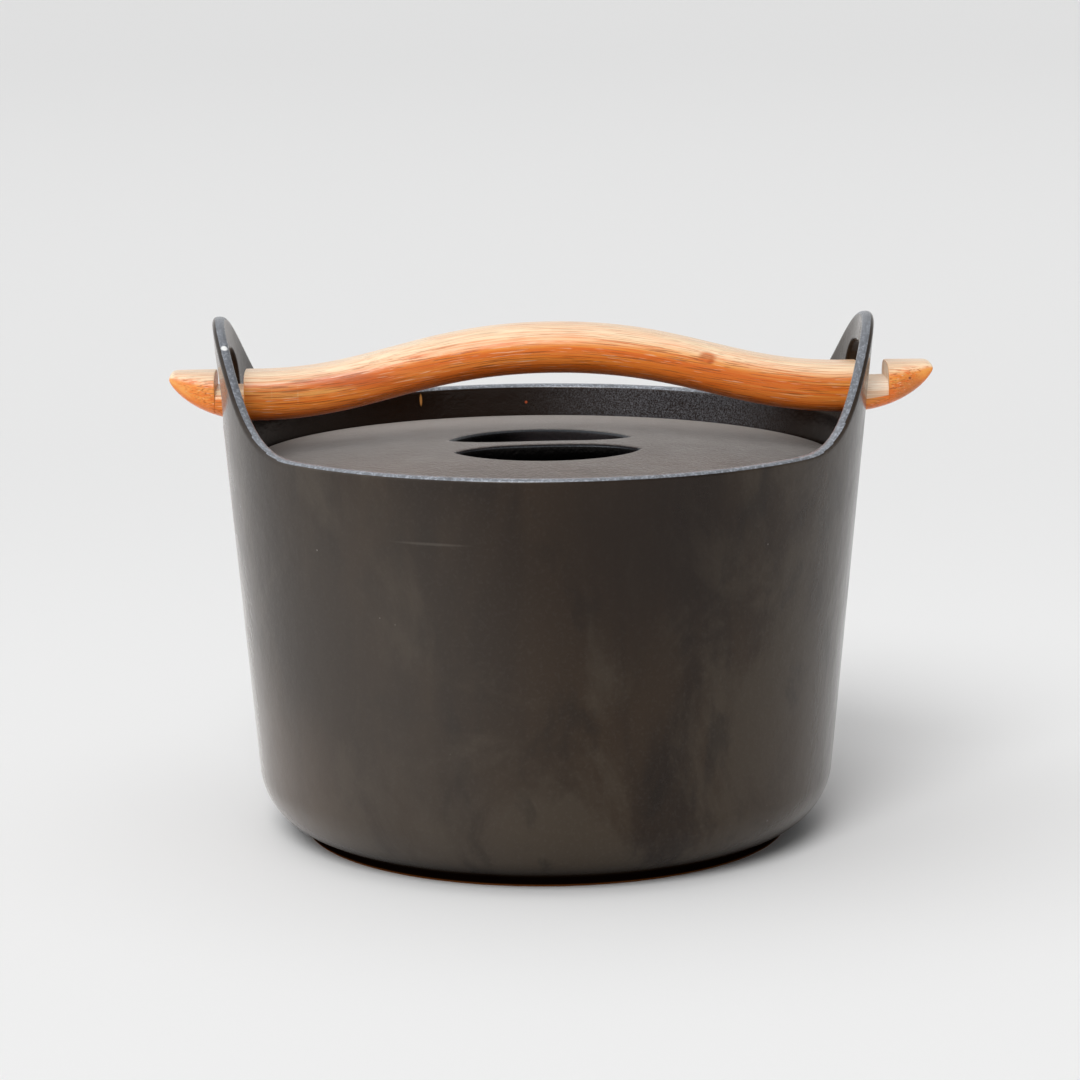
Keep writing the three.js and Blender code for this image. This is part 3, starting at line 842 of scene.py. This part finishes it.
def iron(name, look, spots, fades=False):
    """Seasoned cast iron: a cloudy dark brown skin with upright streaks, fine grain and a few pale specks.

    Where it fades, the inner wall is darker by painted shade, with a patch of painted glints and no bloom,
    and gloss and bloom are lost towards the foot. Near the floor the iron is darkened by painted shade, and
    the look's share of painted sheen makes the iron paler towards the back left.
    """
    n = Nodes(name)
    x, y, z = n.split(n.place)
    radius = n.sum("SQRT", n.sum("ADD", n.sum("MULTIPLY", x, x), n.sum("MULTIPLY", y, y)), 0.0)
    slant = n.sum("SUBTRACT", n.sum("MULTIPLY", x, 0.6), y)
    streaks = n.noise(n.mapped(STREAKS), 1.0, 4.0, 0.55, 0.6)
    clouds = n.noise(n.mapped(CLOUDS, (3.1, 1.7, 0.4)), 1.0, 6.0, 0.62, 0.5)
    clouds = n.sum("ADD", clouds, n.span(z, 0.12, 0.02, -0.04, 0.05))
    blots = n.noise(n.mapped(BLOTS, (0.4, 2.2, 1.1)), 1.0, 4.0, 0.6, 0.3)
    cast = n.noise(n.place, CAST_GRAIN, 3.0, 0.65)
    colour = n.mix(n.span(streaks, 0.36, 0.64), look["dark"], look["warm"])
    colour = n.mix(n.span(clouds, 0.46, 0.63, 0.0, 0.9), colour, look["grey"])
    half_dark = tuple(0.5 * k for k in look["dark"])
    colour = n.mix(n.span(blots, 0.54, 0.72, 0.0, 0.55), colour, half_dark)
    # painted sheen: paler towards the back left, by the look's share
    colour = n.mix(n.span(slant, 0.08, -0.08, 0.0, look["painted_sheen"]), colour, PAINTED_SHEEN_TONE)
    colour = n.mix(n.span(cast, 0.50, 0.68, 0.0, look["speckle"]), colour, GRAIN_TONE)
    speck = n.span(n.cells(n.place, SPECK_CELLS), 0.10, 0.05)
    speck = n.sum("MULTIPLY", speck, n.span(n.noise(n.place, SPECK_PATCHES, 1.0), 0.66, 0.72))
    colour = n.mix(speck, colour, SPECK_TONE)
    if fades:
        # painted shade: the inner wall below the rim is made darker
        inner_shade_mask = inner_wall(n, radius, z)
        colour = n.mix(inner_shade_mask, colour, look["hollow"])
        # painted glints: a patch of pale specks on the inner wall at the back right
        painted_glints = n.sum("MULTIPLY", n.span(n.noise(n.place, PAINTED_GLINT_GRAIN, 4.0, 0.75), 0.36, 0.74), inner_shade_mask)
        painted_glints = n.sum("MULTIPLY", painted_glints, n.near(PAINTED_GLINT_PLACE, PAINTED_GLINT_REACH, EVEN, 0.2))
        colour = n.mix(painted_glints, colour, PAINTED_GLINT_TONE)
    colour = n.spotted(colour, spots)
    colour = n.mix(n.span(z, *FOOT_SHADE_FADE, 0.0, 0.97), colour, FOOT_SHADE)
    rust = n.sum("MULTIPLY", n.span(z, *RUST_HEIGHT, 0.0, 0.6), n.span(radius, *RUST_RING))
    n.put(n.shader.inputs["Base Color"], n.mix(rust, colour, RUST))
    rough = n.span(clouds, 0.3, 0.7, look["rough"] + 0.05, look["rough"] - 0.05)
    rough = n.sum("ADD", rough, n.span(blots, 0.4, 0.7, -0.03, 0.06))
    n.put(n.shader.inputs["Roughness"], rough)
    n.shader.inputs["Specular IOR Level"].default_value = look["shine"]
    n.shader.inputs["Specular Tint"].default_value = WARM_GLOSS
    n.shader.inputs["Sheen Weight"].default_value = look["bloom"]
    n.shader.inputs["Sheen Roughness"].default_value = 0.45
    n.shader.inputs["Sheen Tint"].default_value = WARM_BLOOM
    if fades:
        above = n.span(z, *GLOSS_FADE, 1.0, 0.0)
        bloom = n.span(slant, 0.09, -0.09, 0.4 * look["bloom"], 1.5 * look["bloom"])
        bloom = n.sum("MULTIPLY", n.sum("MULTIPLY", bloom, above), n.sum("SUBTRACT", 1.0, inner_shade_mask))
        n.put(n.shader.inputs["Sheen Weight"], bloom)
        n.put(n.shader.inputs["Specular IOR Level"], n.sum("MULTIPLY", above, look["shine"]))
    normal = n.bump(cast, look["grain"], 0.0006)
    normal = n.bump(n.noise(n.place, WAVES, 2.0), 0.09, 0.0012, normal)
    n.put(n.shader.inputs["Normal"], normal)
    return n.material


def worn_iron(name, pale, level, spots):
    """Iron rubbed smooth along an edge: cool grey, speckled, with dark patches left. On the pot's rim its
    pale colour is partly a painted highlight.
    """
    n = Nodes(name)
    height = n.split(n.place)[2]
    speckle = n.noise(n.place, WORN_GRAIN, 3.0, 0.7)
    patches = n.noise(n.place, WORN_PATCHES, 4.0, 0.65)
    colour = n.mix(n.span(speckle, 0.42, 0.64), tuple(0.3 * k for k in pale), pale)
    colour = n.mix(n.span(patches, 0.54, 0.72, 0.0, 0.6), colour, LEFT_PATCHES)
    colour = n.mix(n.span(height, *EAR_FADE, 0.0, 0.35), colour, EAR_TONE)
    n.put(n.shader.inputs["Base Color"], n.spotted(colour, spots))
    n.put(n.shader.inputs["Roughness"], n.span(speckle, 0.40, 0.65, 0.30, 0.18))
    n.shader.inputs["Specular IOR Level"].default_value = level
    n.shader.inputs["Specular Tint"].default_value = COOL_GLOSS
    n.put(n.shader.inputs["Normal"], n.bump(speckle, 0.25, 0.0004))
    return n.material


def wood(name, look, spots):
    """Hardwood: fibres that follow the bow, reddish bands, short dark pores and pale flecks, with upward
    faces paler by a painted highlight and downward faces redder by painted shade.
    """
    n = Nodes(name)
    x, y, z = n.split(n.place)
    run = n.sum("ABSOLUTE", n.sum("SUBTRACT", x, HANDLE_SHIFT * MM), 0.0)
    bow = n.span(run, 0.0, BOW_SPAN * MM, GRAIN_BOW * BOW_RISE * MM, 0.0)
    along = n.join(x, y, n.sum("SUBTRACT", z, bow))
    fibre = n.noise(n.mapped(FIBRES, source=along), 1.0, 4.0, 0.65, 0.15)
    lines = n.noise(n.mapped(LINES, (0.0, 0.4, 0.2), along), 1.0, 3.0, 0.6, 0.4)
    bands = n.noise(n.mapped(BANDS, (0.3, 0.0, 0.0), along), 1.0, 3.0, 0.55, 0.5)
    flecks = n.noise(n.mapped(FLECKS, (0.2, 0.5, 0.1), along), 1.0, 1.0)
    pores = n.noise(n.mapped(PORES, (0.7, 0.0, 0.0), along), 1.0, 1.0)
    facing = n.split(n.tree.nodes.new("ShaderNodeNewGeometry").outputs["Normal"])
    lengthwise = n.span(n.sum("ABSOLUTE", facing[0], 0.0), 0.14, 0.45, 1.0, 0.1)
    lengthwise = n.sum("MULTIPLY", lengthwise, n.span(facing[2], 0.35, 0.95, 1.0, 0.5))
    colour = n.mix(n.span(lines, 0.34, 0.66), look["pale"], look["honey"])
    colour = n.mix(n.span(bands, 0.48, 0.68, 0.0, 0.75), colour, look["ember"])
    # painted highlight: upward faces are made paler
    colour = n.mix(n.span(facing[2], 0.15, 0.90, 0.0, 0.85), colour, look["fleck_and_highlight"])
    # painted shade: downward faces are made redder
    colour = n.mix(n.span(facing[2], 0.05, -0.8, 0.0, 0.75), colour, look["under"])
    colour = n.spotted(colour, spots)
    strands = n.sum("MULTIPLY", n.span(fibre, 0.43, 0.62, 0.0, 0.80), lengthwise)
    colour = n.mix(strands, colour, look["ember"])
    flecks = n.sum("MULTIPLY", n.span(flecks, 0.63, 0.72, 0.0, 0.4), lengthwise)
    colour = n.mix(flecks, colour, look["fleck_and_highlight"])
    pores = n.sum("MULTIPLY", n.span(pores, 0.57, 0.64), lengthwise)
    colour = n.mix(n.sum("MULTIPLY", pores, 0.75), colour, look["pore"])
    n.put(n.shader.inputs["Base Color"], colour)
    rough = n.span(fibre, 0.3, 0.7, look["rough"] - 0.06, look["rough"] + 0.08)
    n.put(n.shader.inputs["Roughness"], rough)
    n.shader.inputs["Specular IOR Level"].default_value = look["shine"]
    normal = n.bump(fibre, 0.08, 0.0004)
    normal = n.bump(n.sum("SUBTRACT", 1.0, pores), 0.2, 0.0003, normal)
    n.put(n.shader.inputs["Normal"], normal)
    return n.material


# Stage, light and camera


def pale_floor():
    n = Nodes("studio_floor")
    y = n.split(n.place)[1]
    near, middle, far = ((tone,) * 3 for tone in FLOOR_TONES)
    # painted light falloff: paler at the front, darker further back
    colour = n.mix(n.span(y, -0.1, 0.8), near, middle)
    colour = n.mix(n.span(y, 0.6, 5.0), colour, far)
    n.put(n.shader.inputs["Base Color"], colour)
    n.shader.inputs["Roughness"].default_value = 0.9
    n.shader.inputs["Specular IOR Level"].default_value = 0.1
    bpy.ops.mesh.primitive_circle_add(vertices=96, radius=FLOOR_RADIUS, fill_type="NGON")
    floor = bpy.context.object
    floor.name = "floor"
    floor.data.materials.append(n.material)


def soft_lamp(name, towards, share, width):
    """A wide soft light that gives a share of the floor's light."""
    way = Vector(towards).normalized()
    sun = bpy.data.lights.new(name, "SUN")
    sun.energy = share * math.pi / -way.z
    sun.angle = math.radians(width)
    lamp = bpy.data.objects.new(name, sun)
    lamp.rotation_euler = way.to_track_quat("-Z", "Y").to_euler()
    bpy.context.scene.collection.objects.link(lamp)


def set_light():
    world = bpy.data.worlds.new("studio")
    world.use_nodes = True
    bpy.context.scene.world = world
    tree = world.node_tree
    fill = tree.nodes["Background"]
    fill.inputs["Color"].default_value = (1.0, 1.0, 1.0, 1.0)
    backdrop = tree.nodes.new("ShaderNodeBackground")
    backdrop.inputs["Color"].default_value = (0.98, 0.99, 1.0, 1.0)
    way = tree.nodes.new("ShaderNodeSeparateXYZ")
    tree.links.new(tree.nodes.new("ShaderNodeTexCoord").outputs["Generated"], way.inputs[0])
    for light, level in ((fill, FILL_LIGHT), (backdrop, BACKDROP)):
        side = tree.nodes.new("ShaderNodeMapRange")
        side.inputs["From Min"].default_value = -1.0
        side.inputs["From Max"].default_value = 1.0
        side.inputs["To Min"].default_value = level * (1 + LEFT_SHARE)
        side.inputs["To Max"].default_value = level * (1 - LEFT_SHARE)
        tree.links.new(way.outputs["X"], side.inputs["Value"])
        tree.links.new(side.outputs["Result"], light.inputs["Strength"])
    ray = tree.nodes.new("ShaderNodeLightPath")
    seen = ray.outputs["Is Camera Ray"]
    for name in ("Is Glossy Ray", "Is Transmission Ray"):
        either = tree.nodes.new("ShaderNodeMath")
        either.operation = "MAXIMUM"
        tree.links.new(seen, either.inputs[0])
        tree.links.new(ray.outputs[name], either.inputs[1])
        seen = either.outputs["Value"]
    choose = tree.nodes.new("ShaderNodeMixShader")
    tree.links.new(seen, choose.inputs["Fac"])
    tree.links.new(fill.outputs["Background"], choose.inputs[1])
    tree.links.new(backdrop.outputs["Background"], choose.inputs[2])
    tree.links.new(choose.outputs["Shader"], tree.nodes["World Output"].inputs["Surface"])
    for name, towards, share, width in LAMPS:
        soft_lamp(name, towards, share, width)


def set_camera():
    camera = bpy.data.cameras.new("photo_view")
    camera.sensor_width = SENSOR
    camera.lens = SENSOR * CAMERA_FOCAL / PICTURE_SIZE
    camera.clip_start = CLIP_START
    camera.clip_end = CLIP_END
    view = bpy.data.objects.new("photo_view", camera)
    bpy.context.scene.collection.objects.link(view)
    right = Vector((1.0, 0.0, 0.0))
    ahead = Vector((0.0, math.cos(CAMERA_PITCH), -math.sin(CAMERA_PITCH)))
    up = Vector((0.0, math.sin(CAMERA_PITCH), math.cos(CAMERA_PITCH)))
    c, s = math.cos(CAMERA_ROLL), math.sin(CAMERA_ROLL)
    picture_right = right * c - up * s
    picture_up = right * s + up * c
    axes = Matrix((picture_right, picture_up, -ahead)).transposed().to_4x4()
    place = Vector((CAMERA_SIDE, -CAMERA_DISTANCE, CAMERA_HEIGHT)) * MM
    turn = Matrix.Rotation(-CAMERA_YAW, 4, "Z")
    view.matrix_world = turn @ Matrix.Translation(place) @ axes
    bpy.context.scene.camera = view


POT_LOOK = {
    "dark": (0.010, 0.0048, 0.0022),
    "warm": (0.024, 0.0135, 0.0065),
    "grey": (0.040, 0.029, 0.019),
    # painted shade for the inner wall below the rim
    "hollow": (0.008, 0.003, 0.001),
    "speckle": 0.04,
    "rough": 0.17,
    "shine": 0.25,
    "bloom": 0.18,
    "painted_sheen": 0.0,
    "grain": 0.09,
}
LID_LOOK = {
    "dark": (0.024, 0.014, 0.009),
    "warm": (0.036, 0.023, 0.016),
    "grey": (0.040, 0.032, 0.026),
    "speckle": 0.62,
    "rough": 0.48,
    "shine": 0.42,
    "bloom": 0.52,
    "painted_sheen": 0.75,
    "grain": 0.85,
}
# painted shade: the well of the lid is made nearly black, where little light reaches
PAINTED_WELL_SHADE = (0.001, 0.0008, 0.0008)
PLAIN = {"shine": 0.0, "bloom": 0.0, "painted_sheen": 0.0, "speckle": 0.0}
FOOT_LOOK = {**POT_LOOK, **PLAIN}
WELL_LOOK = {**LID_LOOK, **PLAIN, "dark": PAINTED_WELL_SHADE, "warm": PAINTED_WELL_SHADE, "grey": PAINTED_WELL_SHADE, "shine": 0.06}
OILED_LOOK = {
    "pale": (0.87, 0.37, 0.085),
    "honey": (0.86, 0.262, 0.036),
    "ember": (0.75, 0.145, 0.014),
    "fleck_and_highlight": (0.94, 0.80, 0.56),
    "under": (0.95, 0.20, 0.022),
    "pore": (0.34, 0.085, 0.015),
    "rough": 0.28,
    "shine": 0.30,
}
RAW_LOOK = {
    "pale": (0.97, 0.82, 0.66),
    "honey": (0.94, 0.74, 0.56),
    "ember": (0.74, 0.44, 0.26),
    "fleck_and_highlight": (0.96, 0.84, 0.70),
    "under": (0.86, 0.55, 0.32),
    "pore": (0.50, 0.28, 0.15),
    "rough": 0.65,
    "shine": 0.25,
}

# Marks on the iron and the wood, some left by use and some painted light or shade: place and reach in
# millimetres, core, stretch, colour and strength
POT_MARKS = (
    # partly painted light: a paler grey patch on the front wall's left, where light from the left falls,
    # partly a grey haze in the seasoning
    ((-60.0, -74.0, 66.0), 82.0, 0.1, (1.0, 1.0, 0.6), (0.080, 0.069, 0.060), 0.5),
    # painted shade: a darker patch on the front wall's upper right, away from the light on the left
    ((28.0, -97.0, 114.0), 58.0, 0.1, (1.0, 1.0, 0.9), (0.008, 0.004, 0.0025), 0.75),
    # painted light: a paler warm patch on the lower left corner, where light from the left falls
    ((-86.0, -34.0, 20.0), 56.0, 0.1, EVEN, (0.125, 0.098, 0.080), 0.6),
    # a warm brown patch on the lower right corner, partly the iron's own tone and partly painted light
    ((80.0, -48.0, 26.0), 56.0, 0.1, EVEN, (0.050, 0.034, 0.022), 0.5),
    ((-40.7, 89.9, 127.4), 0.6, 0.5, (1.0, 1.0, 0.22), (0.50, 0.22, 0.06), 0.8),
    ((-4.0, 98.4, 125.1), 0.6, 0.5, EVEN, (0.40, 0.07, 0.02), 0.9),
    ((-36.3, -94.4, 111.0), 15.0, 0.3, (1.0, 1.0, 25.0), (0.16, 0.14, 0.12), 0.2),
    ((-40.0, 89.0, 121.5), 0.5, 0.5, EVEN, (0.30, 0.28, 0.26), 0.7),
)
# painted light: a paler patch on the far wall of the well, where light from above reaches
WELL_MARKS = (((10.0, 34.0, 121.0), 26.0, 0.4, EVEN, (0.055, 0.050, 0.053), 0.85),)
RIM_MARKS = (((-101.2, -20.5, 160.6), 1.3, 0.6, EVEN, (0.90, 0.90, 0.88), 0.9),)
WOOD_MARKS = (
    ((52.1, -10.5, 154.9), 3.0, 0.4, (0.8, 1.0, 1.0), (0.50, 0.12, 0.016), 0.75),
    ((53.0, -10.5, 153.6), 1.3, 0.4, (0.7, 1.0, 1.0), (0.28, 0.05, 0.008), 0.85),
    ((-60.0, -10.5, 148.6), 14.0, 0.3, (0.6, 2.0, 4.0), (0.58, 0.10, 0.012), 0.85),
    # painted highlight: a paler patch on the top of the handle's left end
    ((-88.0, 4.0, 178.0), 40.0, 0.4, (0.5, 1.0, 1.0), (0.97, 0.86, 0.64), 0.5),
    ((118.0, -10.0, 143.0), 8.0, 0.4, EVEN, (0.52, 0.17, 0.040), 0.7),
    ((117.3, -9.2, 147.6), 0.6, 0.5, EVEN, (0.16, 0.05, 0.02), 0.9),
    ((-78.7, -10.6, 144.3), 4.0, 0.5, (14.0, 1.0, 1.0), (0.92, 0.55, 0.24), 0.4),
    ((-87.0, -10.6, 145.0), 3.0, 0.5, (14.0, 1.0, 1.0), (0.92, 0.55, 0.24), 0.3),
)

set_camera()
pale_floor()
set_light()

pot = make_pot(
    iron("pot_iron", POT_LOOK, POT_MARKS, fades=True),
    # the rim's pale colour: partly worn bare iron, partly a painted highlight
    worn_iron("pot_rim_iron", (0.310, 0.328, 0.368), 0.75, RIM_MARKS),
    iron("pot_foot_iron", FOOT_LOOK, ()),
)
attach(pot, "pot")
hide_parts("pot")

lid = make_lid(
    iron("lid_iron", LID_LOOK, ()),
    worn_iron("lid_lip_iron", (0.020, 0.021, 0.024), 0.34, ()),
    # the well, nearly black by painted shade, with a paler patch of painted light on its far wall
    iron("lid_well_iron", WELL_LOOK, WELL_MARKS),
)
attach(lid, "lid")
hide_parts("lid")

handle = make_handle(
    wood("oiled_wood", OILED_LOOK, WOOD_MARKS),
    wood("raw_wood", RAW_LOOK, ()),
)
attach(handle, "handle")
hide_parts("handle")

bpy.context.scene.view_settings.view_transform = "Standard"
